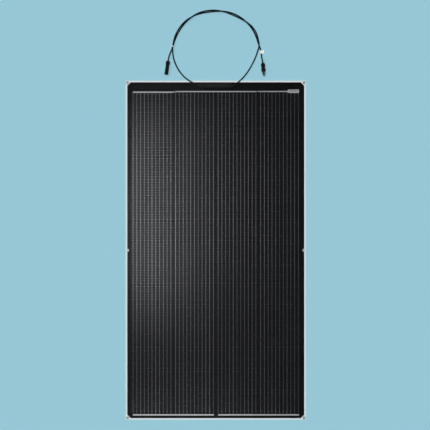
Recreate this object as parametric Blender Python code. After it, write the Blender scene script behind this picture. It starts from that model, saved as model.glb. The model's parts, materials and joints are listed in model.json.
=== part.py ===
"""A flexible solar sheet, lying flat with its face up.

Four strings of half-cut cells lie in a laminate 2.4 mm thick. The laminate is cut at two flex lines
into three sections, each hinged to the next, which stand in for a sheet that curls. A slim junction
box is bonded to the front margin at the +Y end. Its two cables lie on the ground and end in a pin
connector and a socket connector.

Metres, +Z up. The origin is the middle of the sheet's underside, and +Y points to the junction box.
"""

from math import atan2, ceil, cos, hypot, pi, radians, sin

import bmesh
import bpy
from mathutils import Vector

MM = 0.001
FIT_GAP = 0.3 * MM

# The sheet and its black inner area
SHEET_WIDTH = 780 * MM
SHEET_LENGTH = 1468 * MM
SHEET_CORNER = 6 * MM
BACKING_INSET = 7 * MM
BACKING_CORNER = 15 * MM

# The layers, each from its underside to its top
BACK_SHEET = (0.0, 0.5 * MM)
CORE_BOARD = (0.55 * MM, 1.15 * MM)
BLACK_BACKING = (1.2 * MM, 1.5 * MM)
CELL_LAYER = (1.55 * MM, 1.75 * MM)
FRONT_FILM = (1.8 * MM, 2.4 * MM)
FILM_RIM_LOW = 1.2 * MM

# Half-cut cells, in strings that run along Y
CELL_WIDTH = 182 * MM
CELL_HEIGHT = 91 * MM
CELL_CORNER = 7 * MM
COLUMN_PITCH = 184 * MM
ROW_PITCH = 92.3 * MM
COLUMNS = 4
ROWS_PER_SECTION = 5
CELLS_TOP = 680 * MM
WIRE_WEB_WIDTH = 166 * MM

# Tinned ribbons that join the strings: name, ends in X, centre in Y, width
BUS_RIBBONS = (
    ("bus_ribbon_top_left", -358.5 * MM, -179.8 * MM, 684.3 * MM, 5 * MM),
    ("bus_ribbon_top_centre", -175.9 * MM, 177 * MM, 686.7 * MM, 4.5 * MM),
    ("bus_ribbon_top_right", 181.7 * MM, 359 * MM, 687.1 * MM, 4.3 * MM),
    ("bus_ribbon_bottom_left", -358.5 * MM, -7.8 * MM, -712.6 * MM, 5.7 * MM),
    ("bus_ribbon_bottom_right", 11 * MM, 360.7 * MM, -712.6 * MM, 5.7 * MM),
)

# Eyelets, clinched through the laminate near its edges
EYELET_X = 381.5 * MM
EYELET_END_Y = 725 * MM
EYELET_HOLE_RADIUS = 3.25 * MM
EYELET_BARREL_RADIUS = 3.9 * MM
EYELET_FLANGE_RADIUS = 6 * MM
EYELET_TOP = 3.05 * MM
BACKING_NOTCH_RADIUS = 6.4 * MM

# Junction box
BOX_X = (-69 * MM, 69 * MM)
BOX_LID_END = 43.7 * MM
BOX_Y = (702 * MM, 722 * MM)
BOX_DRAFT = 1.5 * MM
BOX_PAD = (2.45 * MM, 3.2 * MM)
BOX_BASE = (3.25 * MM, 11.4 * MM)
BOX_WALL = 2 * MM
BOX_FLOOR = 1.2 * MM
BOX_SEAL = (11.45 * MM, 11.95 * MM)
BOX_LID = (12 * MM, 13.8 * MM)
BOX_LIP_LOW = 10.2 * MM
BOX_SEAL_WIDTH = 1.1 * MM
BOX_PART_FLOOR = BOX_BASE[0] + BOX_FLOOR + FIT_GAP

# Glands, tapered and leaning towards the sheet's +Y edge
GLAND_LENGTH = 13 * MM
GLAND_Z = 7.35 * MM
LEFT_GLAND = (-69.3 * MM, 712 * MM)
LEFT_GLAND_LEAN = radians(-70)
RIGHT_GLAND = (69.3 * MM, 711 * MM)
RIGHT_GLAND_LEAN = radians(65)

# Cables. Both share one arch on the ground, crossing each other five times along it
CABLE_RADIUS = 3 * MM
CABLE_STEP = 17 * MM
GROUND_Z = 3.1 * MM
CROSSING_CLIMB = 6.5 * MM
CROSSING_SWAY = 3.4 * MM
STEPS_PER_CROSSING = 4
TIE_LIFT = 1.3 * MM

# The arch's middle line in mm, four steps from one crossing to the next
SHARED_ARCH = (
    (-185.5, 882), (-174, 923), (-154.5, 960), (-127.5, 991.5),
    (-94.5, 1014.5), (-63, 1027.3), (-30, 1034), (3, 1035.7),
    (36, 1032.2), (62.5, 1025), (89, 1014.8), (113, 1001),
    (135, 984.5), (155.5, 964.5), (171.4, 940), (181.3, 912),
    (187.5, 884),
)

# Each cable's own points in mm: from its gland to the arch, then from the arch to its connector
LEFT_CABLE_IN = (
    (-81.8, 716.6, 7.3), (-96, 723, 7.2), (-110.5, 730.5, 6.6), (-123.5, 739.5, 5.7),
    (-136, 749.5, 4.4), (-149.5, 764.5, 3.3), (-162.5, 783, 3.1), (-172.6, 803, 3.1),
    (-180.3, 823, 3.1), (-184.9, 844, 4.2), (-186.5, 863, 7.4),
)
LEFT_CABLE_OUT = (
    (191.5, 874, 8.7), (194.4, 864, 7.6), (196.8, 850, 7), (198.6, 834, 7.8),
    (201.5, 820, 9.2), (203.3, 809.8, 9.6),
)
RIGHT_CABLE_IN = (
    (81.4, 716.7, 7.3), (94.5, 725, 7), (106.8, 735.5, 6), (119.8, 748.5, 4.5),
    (132, 763.5, 3.4), (145, 782, 3.1), (156.4, 802, 3.1), (166.5, 822, 3.1),
    (174.9, 842, 3.1), (181.8, 863, 3.1),
)
RIGHT_CABLE_OUT = (
    (-190, 868, 3.6), (-196, 855, 4.2), (-200.4, 842, 6.4),
    (-203.8, 830, 8.8), (-205.4, 819.3, 9.6),
)

# Connectors. Each is turned about its own axis, which starts at the cable and points to the mating end
CONNECTOR_Z = 9.6 * MM
PIN_CONNECTOR = (-205.4 * MM, 819 * MM)
PIN_LEAN = radians(-8)
SOCKET_CONNECTOR = (203.3 * MM, 809.5 * MM)
SOCKET_LEAN = radians(5.8)
NUT_LENGTH = 17 * MM
NUT_RADIUS = 9.2 * MM
NUT_BORE = 3.4 * MM
HOUSING_START = NUT_LENGTH + FIT_GAP
PIN_HOUSING_END = 60 * MM
PIN_SHELL_RADIUS = 9.2 * MM
PIN_SHELL_INNER = 6.8 * MM
PIN_SHELL_FLOOR = 30 * MM
PIN_TIP = 50 * MM
CONTACT_START = 19 * MM
CONTACT_RADIUS = 2 * MM
WINDOW_SIZE = (24 * MM, 5.4 * MM, 8 * MM)
WINDOW_CENTRE = 50 * MM
SOCKET_BODY_END = 38 * MM
SOCKET_NOZZLE_END = 57 * MM
SOCKET_NOZZLE_RADIUS = 3.3 * MM
LATCH_LENGTH = 11 * MM
LATCH_WIDTH = 5 * MM
LATCH_INNER = 4.9 * MM
LATCH_OUTER = 6.5 * MM
LATCH_HOOK = 7.7 * MM

# The tie round both cables, at their first crossing, and the tag on the left cable
TIE_WIDTH = 3.6 * MM
TIE_THICKNESS = 0.9 * MM
TIE_LEAN = radians(-8)
TAG_PLACE = (195.8 * MM, 856.5 * MM, 7.2 * MM)
TAG_LEAN = radians(9)
TAG_LENGTH = 14 * MM
TAG_WING = 13 * MM
TAG_THICKNESS = 0.5 * MM
TAG_SLACK = 0.7 * MM

# Blank rating plate on the front
LABEL_X = (307 * MM, 360 * MM)
LABEL_Y = (681 * MM, 695.5 * MM)
LABEL_POINT = 8 * MM
LABEL_Z = (2.45 * MM, 2.75 * MM)

ROUND_STEPS = 24
HOLE_STEPS = 20

# Material slots: base colour, roughness, metallic
MATERIALS = {
    "clear_film": ((0.16, 0.17, 0.19), 0.3, 0.0),
    "white_board": ((0.80, 0.84, 0.86), 0.5, 0.0),
    "black_backing": ((0.016, 0.017, 0.020), 0.45, 0.0),
    "solar_cell": ((0.022, 0.024, 0.034), 0.3, 0.2),
    "tinned_ribbon": ((0.72, 0.72, 0.70), 0.35, 1.0),
    "nickel_eyelet": ((0.62, 0.61, 0.58), 0.3, 1.0),
    "box_plastic": ((0.030, 0.029, 0.030), 0.5, 0.0),
    "lid_plastic": ((0.065, 0.060, 0.058), 0.45, 0.0),
    "soft_rubber": ((0.015, 0.015, 0.016), 0.7, 0.0),
    "terminal_brass": ((0.78, 0.57, 0.27), 0.3, 1.0),
    "cable_jacket": ((0.013, 0.013, 0.014), 0.5, 0.0),
    "connector_plastic": ((0.018, 0.018, 0.019), 0.45, 0.0),
    "contact_metal": ((0.75, 0.74, 0.71), 0.25, 1.0),
    "white_tie": ((0.70, 0.72, 0.72), 0.45, 0.0),
    "white_paper": ((0.80, 0.81, 0.80), 0.6, 0.0),
    "label_grey": ((0.42, 0.44, 0.45), 0.4, 0.0),
}


def flex_line(rows_above):
    """Y of the middle of the gap under this many rows of cells."""
    return CELLS_TOP + (ROW_PITCH - CELL_HEIGHT) / 2 - rows_above * ROW_PITCH


# The three sections: lowest and highest Y, and how many rows of cells lie above
SECTIONS = {
    "upper": (flex_line(ROWS_PER_SECTION), SHEET_LENGTH / 2, 0),
    "middle": (flex_line(2 * ROWS_PER_SECTION), flex_line(ROWS_PER_SECTION), ROWS_PER_SECTION),
    "lower": (-SHEET_LENGTH / 2, flex_line(2 * ROWS_PER_SECTION), 2 * ROWS_PER_SECTION),
}


def clear_scene():
    for obj in list(bpy.data.objects):
        bpy.data.objects.remove(obj, do_unlink=True)


def material(slot):
    """The slot's material, made the first time it is asked for."""
    found = bpy.data.materials.get(slot)
    if found:
        return found
    made = bpy.data.materials.new(slot)
    made.use_nodes = True
    shader = made.node_tree.nodes["Principled BSDF"]
    colour, roughness, metallic = MATERIALS[slot]
    shader.inputs["Base Color"].default_value = (*colour, 1.0)
    shader.inputs["Roughness"].default_value = roughness
    shader.inputs["Metallic"].default_value = metallic
    return made


def place(name, data, slot=None, at=(0, 0, 0), turn=(0, 0, 0), parent=None):
    """Link an object to the scene at its place under its parent."""
    obj = bpy.data.objects.new(name, data)
    bpy.context.scene.collection.objects.link(obj)
    obj.location = at
    obj.rotation_euler = turn
    obj.parent = parent
    if slot:
        data.materials.clear()
        data.materials.append(material(slot))
    return obj


def finished_mesh(name, bm):
    """A mesh from this bmesh, with its faces out and its round sides smooth."""
    bmesh.ops.recalc_face_normals(bm, faces=bm.faces)
    mesh = bpy.data.meshes.new(name)
    bm.to_mesh(mesh)
    bm.free()
    mesh.shade_smooth()
    mesh.set_sharp_from_angle(angle=radians(35))
    return mesh


def prism_mesh(name, outline, low, high):
    """One closed outline in XY, extruded from low to high."""
    bm = bmesh.new()
    face = bm.faces.new([bm.verts.new((x, y, low)) for x, y in outline])
    grown = bmesh.ops.extrude_face_region(bm, geom=[face])
    raised = [item for item in grown["geom"] if isinstance(item, bmesh.types.BMVert)]
    bmesh.ops.translate(bm, verts=raised, vec=(0, 0, high - low))
    return finished_mesh(name, bm)


def frame_mesh(name, outer, inner, low, high):
    """The space between two outlines with as many points, extruded from low to high."""
    bm = bmesh.new()
    loops = [
        [bm.verts.new((x, y, z)) for x, y in outline]
        for outline, z in ((outer, low), (outer, high), (inner, high), (inner, low))
    ]
    count = len(outer)
    for one, other in zip(loops, loops[1:] + loops[:1]):
        for i in range(count):
            after = (i + 1) % count
            bm.faces.new((one[i], one[after], other[after], other[i]))
    return finished_mesh(name, bm)


def turned_mesh(name, profile, steps=ROUND_STEPS):
    """A profile of (radius, height) turned about Z. A third number is the depth of grip ribs.

    A profile that starts and ends on the axis gives a solid, and any other gives a ring.
    """
    bm = bmesh.new()
    rings = []
    for radius, height, *rib in profile:
        if radius == 0:
            rings.append([bm.verts.new((0, 0, height))] * steps)
            continue
        depth = rib[0] if rib else 0.0
        ring = []
        for i in range(steps):
            reach = radius - depth * (i % 2)
            angle = 2 * pi * i / steps
            ring.append(bm.verts.new((reach * cos(angle), reach * sin(angle), height)))
        rings.append(ring)
    pairs = list(zip(rings, rings[1:]))
    if profile[0][0] > 0:
        pairs.append((rings[-1], rings[0]))
    for one, other in pairs:
        for i in range(steps):
            after = (i + 1) % steps
            corners = dict.fromkeys((one[i], one[after], other[after], other[i]))
            bm.faces.new(list(corners))
    return finished_mesh(name, bm)


def block_mesh(name, x, y, z, draft=0.0):
    """A block between two limits each way, whose top is narrower by the draft on every side."""
    bm = bmesh.new()
    bmesh.ops.create_cube(bm, size=1)
    for vert in bm.verts:
        shrink = draft if vert.co.z > 0 else 0.0
        high = [side > 0 for side in vert.co]
        vert.co.x = x[1] - shrink if high[0] else x[0] + shrink
        vert.co.y = y[1] - shrink if high[1] else y[0] + shrink
        vert.co.z = z[1] if high[2] else z[0]
    return finished_mesh(name, bm)


def bevel(obj, width, segments=2):
    modifier = obj.modifiers.new("Bevel", "BEVEL")
    modifier.width = width
    modifier.segments = segments
    modifier.limit_method = "ANGLE"
    modifier.angle_limit = radians(40)


def combine(obj, other, operation):
    """Cut another object out of this one, or join it on, with a Boolean."""
    other.hide_render = True
    other.display_type = "WIRE"
    modifier = obj.modifiers.new(operation.title(), "BOOLEAN")
    modifier.operation = operation
    modifier.solver = "EXACT"
    modifier.object = other


def corner_points(x, y, size, steps):
    """The rounded corner at (x, y) of a rectangle about the origin. One step is a plain chamfer."""
    centre_x = abs(x) - size
    centre_y = abs(y) - size
    angles = [pi / 2 * i / steps for i in range(steps + 1)]
    points = [(centre_x + size * cos(a), centre_y + size * sin(a)) for a in angles]
    side = 1 if x > 0 else -1
    end = 1 if y > 0 else -1
    placed = [(side * px, end * py) for px, py in points]
    return placed if side * end > 0 else placed[::-1]


def section_outline(section, inset, corner, steps, beyond=-FIT_GAP / 2, notch=0.0):
    """The outline of one section of a layer, anticlockwise.

    The layer stands in from the sheet's edge by the inset. Its corners are cut only at the sheet's
    own ends. At a flex line it goes on beyond the line, or stops short of it. A notch clears the
    eyelets halfway along the sheet.
    """
    low, high, _ = SECTIONS[section]
    half_width = SHEET_WIDTH / 2 - inset
    half_length = SHEET_LENGTH / 2 - inset
    outline = []
    if section == "lower":
        outline += corner_points(-half_width, -half_length, corner, steps)
        outline += corner_points(half_width, -half_length, corner, steps)
    else:
        outline += [(-half_width, low - beyond), (half_width, low - beyond)]
    if notch and section == "middle":
        outline += notch_points(half_width, notch)
    if section == "upper":
        outline += corner_points(half_width, half_length, corner, steps)
        outline += corner_points(-half_width, half_length, corner, steps)
    else:
        outline += [(half_width, high + beyond), (-half_width, high + beyond)]
    if notch and section == "middle":
        outline += [(-x, -y) for x, y in notch_points(half_width, notch)]
    return outline


def notch_points(half_width, radius, steps=8):
    """A round bite out of the right side of a layer, about the eyelet there, from low to high Y."""
    reach = atan2((radius**2 - (half_width - EYELET_X) ** 2) ** 0.5, half_width - EYELET_X)
    angles = [-reach - (2 * pi - 2 * reach) * i / steps for i in range(steps + 1)]
    return [(EYELET_X + radius * cos(a), radius * sin(a)) for a in angles]


def eyelet_places():
    """Each eyelet's name and centre."""
    ends = (("upper", EYELET_END_Y), ("middle", 0.0), ("lower", -EYELET_END_Y))
    for section, y in ends:
        for side, x in (("left", -EYELET_X), ("right", EYELET_X)):
            yield f"eyelet_{section}_{side}", x, y


def hole_cutter(name, radius):
    """One cutter for the eyelets' holes through a layer."""
    bm = bmesh.new()
    for _, x, y in eyelet_places():
        made = bmesh.ops.create_cone(
            bm, cap_ends=True, segments=HOLE_STEPS, radius1=radius, radius2=radius, depth=10 * MM
        )
        bmesh.ops.translate(bm, verts=made["verts"], vec=(x, y, 0))
    return place(name, finished_mesh(name, bm))


def make_layers():
    """The film, board, backing and rear sheet of each section."""
    barrel_holes = hole_cutter("cutter_barrel_holes", EYELET_BARREL_RADIUS + FIT_GAP)
    flange_holes = hole_cutter("cutter_flange_holes", EYELET_FLANGE_RADIUS + FIT_GAP)
    for section in SECTIONS:
        full = section_outline(section, 0.0, SHEET_CORNER, 3)
        rear_name = f"back_sheet_{section}"
        rear = place(rear_name, prism_mesh(rear_name, full, *BACK_SHEET), "white_board")
        combine(rear, flange_holes, "DIFFERENCE")
        board_name = f"core_board_{section}"
        board = place(board_name, prism_mesh(board_name, full, *CORE_BOARD), "white_board")
        combine(board, barrel_holes, "DIFFERENCE")
        black = section_outline(
            section, BACKING_INSET, BACKING_CORNER, 1, notch=BACKING_NOTCH_RADIUS
        )
        black_name = f"black_backing_{section}"
        place(black_name, prism_mesh(black_name, black, *BLACK_BACKING), "black_backing")
        make_film(section, full, barrel_holes)


def make_film(section, full, barrel_holes):
    """The front film, with a rim round its edge that reaches down to the board."""
    name = f"front_film_{section}"
    film = place(name, prism_mesh(name, full, FILM_RIM_LOW, FRONT_FILM[1]), "clear_film")
    hollow = section_outline(
        section,
        BACKING_INSET - FIT_GAP,
        BACKING_CORNER,
        1,
        beyond=5 * MM,
        notch=BACKING_NOTCH_RADIUS - FIT_GAP,
    )
    hollow_name = f"cutter_film_{section}"
    hollow_mesh = prism_mesh(hollow_name, hollow, FILM_RIM_LOW - 1 * MM, FRONT_FILM[0])
    combine(film, place(hollow_name, hollow_mesh), "DIFFERENCE")
    combine(film, barrel_holes, "DIFFERENCE")


def string_outline(centre_x, rows_above):
    """Five half cells, joined at each row gap by the web of their wires, anticlockwise."""
    half_cell = CELL_WIDTH / 2
    half_web = WIRE_WEB_WIDTH / 2
    right = []
    for row in range(rows_above, rows_above + ROWS_PER_SECTION):
        top = CELLS_TOP - row * ROW_PITCH
        bottom = top - CELL_HEIGHT
        if row > rows_above:
            right.append((half_web, top))
        right.append((half_cell - CELL_CORNER, top))
        right.append((half_cell, top - CELL_CORNER))
        right.append((half_cell, bottom))
        if row < rows_above + ROWS_PER_SECTION - 1:
            right.append((half_web, bottom))
    left = [(-x, y) for x, y in reversed(right)]
    return [(centre_x + x, y) for x, y in right + left]


def make_cells():
    """Four strings in each section, and the ribbons that join the strings at the sheet's ends."""
    for column in range(COLUMNS):
        centre_x = (column - (COLUMNS - 1) / 2) * COLUMN_PITCH
        for section, (_, _, rows_above) in SECTIONS.items():
            name = f"cell_string_{column + 1}_{section}"
            outline = string_outline(centre_x, rows_above)
            place(name, prism_mesh(name, outline, *CELL_LAYER), "solar_cell")
    for name, start, end, centre_y, width in BUS_RIBBONS:
        side = (centre_y - width / 2, centre_y + width / 2)
        place(name, block_mesh(name, (start, end), side, CELL_LAYER), "tinned_ribbon")


def make_eyelets():
    """One turned shape, clinched flush with the rear and proud of the front."""
    profile = (
        (EYELET_HOLE_RADIUS, 0.25 * MM),
        (EYELET_HOLE_RADIUS + 0.4 * MM, 0.02 * MM),
        (EYELET_FLANGE_RADIUS, 0.02 * MM),
        (EYELET_FLANGE_RADIUS, 0.5 * MM),
        (EYELET_BARREL_RADIUS, 0.5 * MM),
        (EYELET_BARREL_RADIUS, 2.45 * MM),
        (EYELET_FLANGE_RADIUS, 2.45 * MM),
        (EYELET_FLANGE_RADIUS - 0.2 * MM, EYELET_TOP - 0.15 * MM),
        (EYELET_FLANGE_RADIUS - 0.7 * MM, EYELET_TOP),
        (EYELET_HOLE_RADIUS + 0.5 * MM, EYELET_TOP),
        (EYELET_HOLE_RADIUS, EYELET_TOP - 0.4 * MM),
    )
    mesh = turned_mesh("eyelet", profile, HOLE_STEPS)
    for name, x, y in eyelet_places():
        place(name, mesh, "nickel_eyelet", at=(x, y, 0))


def make_junction_box():
    """Pad, base, seal and lid, and the terminals and diodes that the box holds."""
    middle_y = (BOX_Y[0] + BOX_Y[1]) / 2
    pad_x = (BOX_X[0] + 1 * MM, BOX_X[1] - 1 * MM)
    pad_y = (BOX_Y[0] + 1 * MM, BOX_Y[1] - 1 * MM)
    place("junction_box_pad", block_mesh("junction_box_pad", pad_x, pad_y, BOX_PAD), "soft_rubber")

    base_mesh = block_mesh("junction_box_base", BOX_X, BOX_Y, BOX_BASE, BOX_DRAFT)
    base = place("junction_box_base", base_mesh, "box_plastic")
    bevel(base, 0.8 * MM)
    cavity_x = (BOX_X[0] + BOX_DRAFT + BOX_WALL, BOX_LID_END - BOX_WALL)
    cavity_y = (BOX_Y[0] + BOX_DRAFT + BOX_WALL, BOX_Y[1] - BOX_DRAFT - BOX_WALL)
    cavity_z = (BOX_BASE[0] + BOX_FLOOR, BOX_BASE[1] + 1 * MM)
    cavity = place("cutter_cavity", block_mesh("cutter_cavity", cavity_x, cavity_y, cavity_z))
    combine(base, cavity, "DIFFERENCE")

    inner_x = (cavity_x[0] + FIT_GAP, cavity_x[1] - FIT_GAP)
    inner_y = (cavity_y[0] + FIT_GAP, cavity_y[1] - FIT_GAP)
    lip_mesh = block_mesh("lid_lip", inner_x, inner_y, (BOX_LIP_LOW, BOX_LID[0] + 0.5 * MM))
    lid_x = (BOX_X[0] + BOX_DRAFT, BOX_LID_END)
    lid_y = (BOX_Y[0] + BOX_DRAFT, BOX_Y[1] - BOX_DRAFT)
    lid_mesh = block_mesh("junction_box_lid", lid_x, lid_y, BOX_LID, 0.6 * MM)
    lid = place("junction_box_lid", lid_mesh, "lid_plastic")
    bevel(lid, 0.4 * MM)
    combine(lid, place("lid_lip", lip_mesh), "UNION")

    seal_inner = rectangle(inner_x, inner_y, FIT_GAP)
    seal_outer = rectangle(inner_x, inner_y, FIT_GAP + BOX_SEAL_WIDTH)
    seal = frame_mesh("junction_box_seal", seal_outer, seal_inner, *BOX_SEAL)
    place("junction_box_seal", seal, "soft_rubber")

    inside = (
        ("terminal_left", "terminal_brass", -52 * MM, (14 * MM, 7 * MM, 4 * MM)),
        ("terminal_right", "terminal_brass", 28 * MM, (14 * MM, 7 * MM, 4 * MM)),
        ("bypass_diode_left", "box_plastic", -27 * MM, (13 * MM, 8 * MM, 3 * MM)),
        ("bypass_diode_right", "box_plastic", 3 * MM, (13 * MM, 8 * MM, 3 * MM)),
    )
    for name, slot, centre_x, (length, width, height) in inside:
        x = (centre_x - length / 2, centre_x + length / 2)
        y = (middle_y - width / 2, middle_y + width / 2)
        z = (BOX_PART_FLOOR, BOX_PART_FLOOR + height)
        bevel(place(name, block_mesh(name, x, y, z), slot), 0.5 * MM, 1)


def rectangle(x, y, grow):
    """A rectangle's corners, grown on every side."""
    return [
        (x[0] - grow, y[0] - grow),
        (x[1] + grow, y[0] - grow),
        (x[1] + grow, y[1] + grow),
        (x[0] - grow, y[1] + grow),
    ]


def make_glands():
    """Tapered rubber reliefs, from the box's ends to the cables' starts."""
    profile = (
        (0, 0),
        (4.0 * MM, 0),
        (4.0 * MM, 2 * MM),
        (3.7 * MM, 2.4 * MM),
        (3.7 * MM, 4.4 * MM),
        (4.0 * MM, 4.8 * MM),
        (3.3 * MM, GLAND_LENGTH),
        (0, GLAND_LENGTH),
    )
    mesh = turned_mesh("gland", profile, 16)
    for name, (x, y), lean in (
        ("gland_left", LEFT_GLAND, LEFT_GLAND_LEAN),
        ("gland_right", RIGHT_GLAND, RIGHT_GLAND_LEAN),
    ):
        # Turned about its own Z, then laid along +Y and swung to its lean
        obj = place(name, mesh, "soft_rubber", at=(x, y, GLAND_Z), turn=(-pi / 2, 0, -lean))
        trim = block_mesh(f"cutter_{name}", *gland_trim(x))
        combine(obj, place(f"cutter_{name}", trim), "DIFFERENCE")


def gland_trim(x):
    """The limits of a block that fills the box's side of a gland."""
    depth = 20 * MM
    face = BOX_X[1] + FIT_GAP if x > 0 else BOX_X[0] - FIT_GAP
    reach = (face - depth, face) if x > 0 else (face, face + depth)
    return reach, (BOX_Y[0] - depth, BOX_Y[1] + depth), (-depth, depth)


def arch_points(side):
    """One cable's points along the shared arch, left to right. Side is 1 for the left cable.

    The two cables wind round each other: at a crossing one lies on the other, and halfway to the
    next crossing they lie side by side on the ground.
    """
    middle = [Vector((x * MM, y * MM, GROUND_Z)) for x, y in SHARED_ARCH]
    points = []
    for step, here in enumerate(middle):
        before = middle[max(step - 1, 0)]
        after = middle[min(step + 1, len(middle) - 1)]
        along = (after - before).normalized()
        outward = Vector((-along.y, along.x, 0))
        phase = pi * step / STEPS_PER_CROSSING
        lift = CROSSING_CLIMB * max(0.0, side * cos(phase))
        lift += TIE_LIFT if step == 0 else 0.0
        sway = side * CROSSING_SWAY * sin(phase)
        points.append(here + outward * sway + Vector((0, 0, lift)))
    return points


def cable_route(lead_in, lead_out, side):
    """A cable's points in metres, from its gland to its connector."""
    arch = arch_points(side)
    if side < 0:
        arch.reverse()
    start = [Vector(point) * MM for point in lead_in]
    end = [Vector(point) * MM for point in lead_out]
    return start + arch + end


def smooth_curve(points, step):
    """Points about one step apart, on a Catmull-Rom curve through these, and none below the ground."""
    padded = [2 * points[0] - points[1], *points, 2 * points[-1] - points[-2]]
    curve = []
    for a, b, c, d in zip(padded, padded[1:], padded[2:], padded[3:]):
        parts = max(1, ceil((c - b).length / step))
        for i in range(parts):
            t = i / parts
            slope = c - a
            bend = 2 * a - 5 * b + 4 * c - d
            twist = 3 * b - 3 * c + d - a
            point = b + (slope * t + bend * t**2 + twist * t**3) / 2
            point.z = max(point.z, GROUND_Z)
            curve.append(point)
    return [*curve, points[-1]]


def make_cables():
    """The two cables, each a tube along its route."""
    for name, lead_in, lead_out, side in (
        ("cable_left", LEFT_CABLE_IN, LEFT_CABLE_OUT, 1),
        ("cable_right", RIGHT_CABLE_IN, RIGHT_CABLE_OUT, -1),
    ):
        points = smooth_curve(cable_route(lead_in, lead_out, side), CABLE_STEP)
        curve = bpy.data.curves.new(name, "CURVE")
        curve.dimensions = "3D"
        curve.bevel_depth = CABLE_RADIUS
        curve.bevel_resolution = 2
        curve.use_fill_caps = True
        spline = curve.splines.new("POLY")
        spline.points.add(len(points) - 1)
        for point, co in zip(spline.points, points):
            point.co = (*co, 1)
        place(name, curve, "cable_jacket")


def connector_frame(name, at, lean):
    """An empty at a connector's cable end. Its Z axis points to the mating end, and its Y axis up."""
    return place(name, None, at=(*at, CONNECTOR_Z), turn=(pi / 2, 0, lean))


def make_cable_nut(name, frame):
    """The ribbed nut that clamps the cable, and the rubber plug inside it."""
    rib = 0.55 * MM
    profile = (
        (NUT_BORE, 0),
        (5.6 * MM, 0),
        (7.4 * MM, 2.5 * MM),
        (8.6 * MM, 6 * MM, rib),
        (NUT_RADIUS, 8 * MM, rib),
        (NUT_RADIUS, 15.5 * MM, rib),
        (8.5 * MM, NUT_LENGTH),
        (NUT_BORE, NUT_LENGTH),
    )
    nut = f"{name}_cable_nut"
    place(nut, turned_mesh(nut, profile), "connector_plastic", parent=frame)
    seal = f"{name}_cable_seal"
    radius = NUT_BORE - FIT_GAP
    rubber = ((0, FIT_GAP), (radius, FIT_GAP), (radius, 16 * MM), (0, 16 * MM))
    place(seal, turned_mesh(seal, rubber, 12), "soft_rubber", parent=frame)


def make_pin_connector():
    """A shell with two side windows, round a recessed contact pin."""
    frame = connector_frame("pin_connector", PIN_CONNECTOR, PIN_LEAN)
    make_cable_nut("pin_connector", frame)
    bore = CONTACT_RADIUS + FIT_GAP
    profile = (
        (0, HOUSING_START),
        (7.8 * MM, HOUSING_START),
        (7.8 * MM, 34 * MM),
        (8.5 * MM, 35 * MM),
        (8.5 * MM, 38 * MM),
        (PIN_SHELL_RADIUS - 0.8 * MM, 40 * MM),
        (PIN_SHELL_RADIUS - 0.8 * MM, 56 * MM),
        (PIN_SHELL_RADIUS, 57 * MM),
        (PIN_SHELL_RADIUS, PIN_HOUSING_END),
        (PIN_SHELL_INNER, PIN_HOUSING_END),
        (PIN_SHELL_INNER, PIN_SHELL_FLOOR),
        (bore, PIN_SHELL_FLOOR),
        (bore, CONTACT_START),
        (0, CONTACT_START),
    )
    name = "pin_connector_housing"
    housing = place(name, turned_mesh(name, profile), "connector_plastic", parent=frame)
    half = [side / 2 for side in WINDOW_SIZE]
    window_mesh = block_mesh(
        "cutter_windows", (-half[0], half[0]), (-half[1], half[1]), (-half[2], half[2])
    )
    window = place("cutter_windows", window_mesh, at=(0, 0, WINDOW_CENTRE), parent=frame)
    combine(housing, window, "DIFFERENCE")
    pin = (
        (0, CONTACT_START + FIT_GAP),
        (CONTACT_RADIUS, CONTACT_START + FIT_GAP),
        (CONTACT_RADIUS, PIN_TIP - 1.5 * MM),
        (0.9 * MM, PIN_TIP),
        (0, PIN_TIP),
    )
    name = "pin_contact"
    place(name, turned_mesh(name, pin, 12), "contact_metal", parent=frame)


def make_socket_connector():
    """A body with a nozzle round its contact, and two latch fingers beside the nozzle."""
    frame = connector_frame("socket_connector", SOCKET_CONNECTOR, SOCKET_LEAN)
    make_cable_nut("socket_connector", frame)
    contact_outer = SOCKET_NOZZLE_RADIUS - 0.7 * MM - FIT_GAP
    bore = contact_outer + FIT_GAP
    profile = (
        (0, HOUSING_START),
        (7.8 * MM, HOUSING_START),
        (7.8 * MM, 23 * MM),
        (9.3 * MM, 24.5 * MM),
        (9.3 * MM, 34 * MM),
        (8.2 * MM, SOCKET_BODY_END),
        (SOCKET_NOZZLE_RADIUS, SOCKET_BODY_END),
        (SOCKET_NOZZLE_RADIUS, SOCKET_NOZZLE_END),
        (bore, SOCKET_NOZZLE_END),
        (bore, CONTACT_START),
        (0, CONTACT_START),
    )
    name = "socket_connector_housing"
    place(name, turned_mesh(name, profile), "connector_plastic", parent=frame)
    socket_bore = CONTACT_RADIUS + 0.05 * MM
    start = CONTACT_START + FIT_GAP
    end = SOCKET_NOZZLE_END - 1 * MM
    contact = (
        (0, start),
        (contact_outer, start),
        (contact_outer, end),
        (socket_bore, end),
        (socket_bore, PIN_SHELL_FLOOR),
        (0, PIN_SHELL_FLOOR),
    )
    name = "socket_contact"
    place(name, turned_mesh(name, contact, 12), "contact_metal", parent=frame)
    make_latches()


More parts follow.
